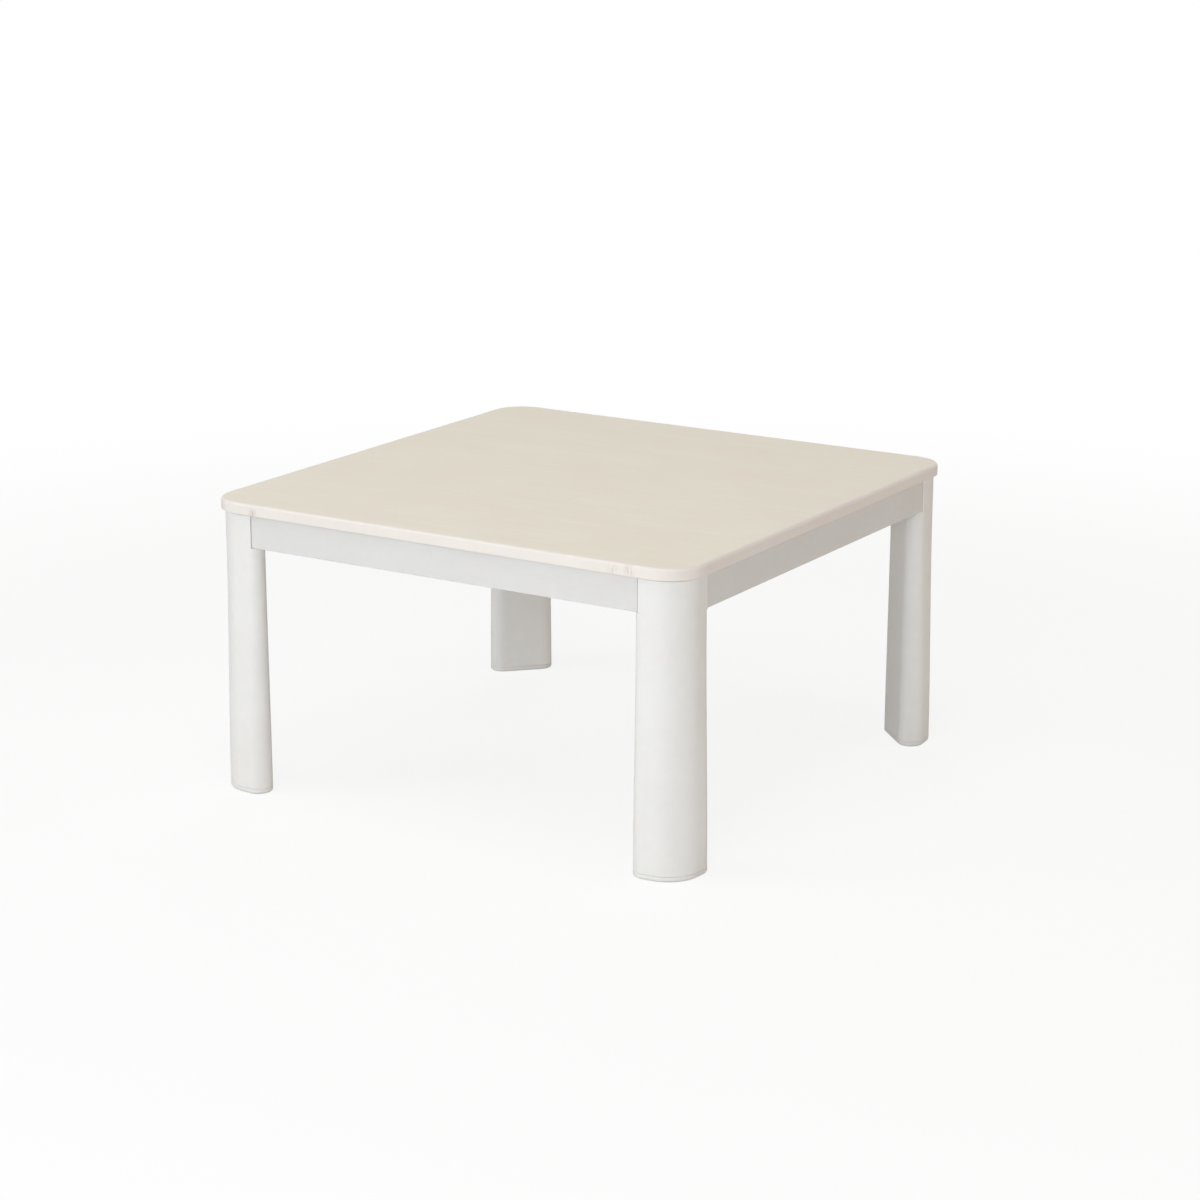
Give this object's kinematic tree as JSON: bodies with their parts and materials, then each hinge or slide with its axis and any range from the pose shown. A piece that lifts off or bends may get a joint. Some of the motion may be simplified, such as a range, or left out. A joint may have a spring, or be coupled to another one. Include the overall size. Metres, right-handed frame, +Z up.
{
  "type": "kotatsu table",
  "caption": "Low square heated table with rounded corners, flared corner legs, thin rails, a loose lift-off top and a quartz heater under it.",
  "frame": {"origin": "on the floor under the middle of the table", "axes": "+X along the front edge to the right, +Y to the back, +Z up"},
  "size_m": [0.7, 0.7, 0.385],
  "materials": {
    "top_surface": "satin ivory laminate with a very faint grain",
    "top_board": "raw fibre board",
    "underside_paper": "matt backing paper",
    "edge_band": "satin pinkish cream edging",
    "rail_wrap": "board wrapped in satin white foil",
    "leg_plastic": "satin white moulded plastic",
    "foot_plastic": "satin white moulded plastic",
    "pad_rubber": "soft translucent rubber",
    "bar_wrap": "board wrapped in white foil",
    "dowel_wood": "plain beech",
    "zinc_steel": "bright zinc plating",
    "insert_brass": "turned brass",
    "housing_steel": "galvanised sheet",
    "insulation_board": "pressed mica board",
    "reflector_metal": "bright rolled aluminium",
    "quartz": "milky quartz",
    "coil_wire": "dull heating wire",
    "cap_ceramic": "unglazed white ceramic",
    "holder_steel": "plated sheet",
    "control_black": "black moulding",
    "fuse_body": "white ceramic",
    "lead_sleeve": "woven glass sleeve",
    "inlet_black": "fine matt black moulding",
    "pin_brass": "bright brass",
    "guard_metal": "satin dark grey coating"
  },
  "bodies": {
    "frame": {"corner_plate_back_left": "zinc_steel", "corner_plate_back_right": "zinc_steel", "corner_plate_front_left": "zinc_steel", "corner_plate_front_right": "zinc_steel", "corner_plate_screws": "zinc_steel", "crossbar_left": "bar_wrap", "crossbar_right": "bar_wrap", "foot_cap_back_left": "foot_plastic", "foot_cap_back_right": "foot_plastic", "foot_cap_front_left": "foot_plastic", "foot_cap_front_right": "foot_plastic", "frame_dowels": "dowel_wood", "guard_grille": "guard_metal", "guard_ring": "guard_metal", "guard_ring_screws": "zinc_steel", "heater_bar_back": "bar_wrap", "heater_bar_front": "bar_wrap", "heater_housing": "housing_steel", "heater_insulation": "insulation_board", "heater_leads": "lead_sleeve", "heater_mount_screws": "zinc_steel", "heater_reflector": "reflector_metal", "heating_coil_back": "coil_wire", "heating_coil_front": "coil_wire", "inlet_housing": "inlet_black", "inlet_pins": "pin_brass", "inlet_screws": "zinc_steel", "leg_back_left": "leg_plastic", "leg_back_right": "leg_plastic", "leg_bolt_washers": "zinc_steel", "leg_bolts": "zinc_steel", "leg_front_left": "leg_plastic", "leg_front_right": "leg_plastic", "leg_inserts": "insert_brass", "leg_wing_nuts": "zinc_steel", "quartz_tube_back": "quartz", "quartz_tube_caps": "cap_ceramic", "quartz_tube_front": "quartz", "rail_back": "rail_wrap", "rail_front": "rail_wrap", "rail_left": "rail_wrap", "rail_right": "rail_wrap", "reflector_rivets": "zinc_steel", "tabletop_pads": "pad_rubber", "tail_strap_left": "holder_steel", "tail_strap_right": "holder_steel", "terminal_block": "cap_ceramic", "thermal_fuse": "fuse_body", "thermostat": "control_black", "tube_holder_left": "holder_steel", "tube_holder_right": "holder_steel", "tube_holder_rivets": "zinc_steel"},
    "tabletop": {"tabletop_core": "top_board", "tabletop_surface_sheet": "top_surface", "tabletop_underside_sheet": "underside_paper", "tabletop_edge_band": "edge_band"}
  },
  "joints": [
    {"name": "tabletop_lift", "type": "slide", "parent": "frame", "child": "tabletop", "axis": [0, 0, 1], "range_m": [0, 0.12]}
  ]
}
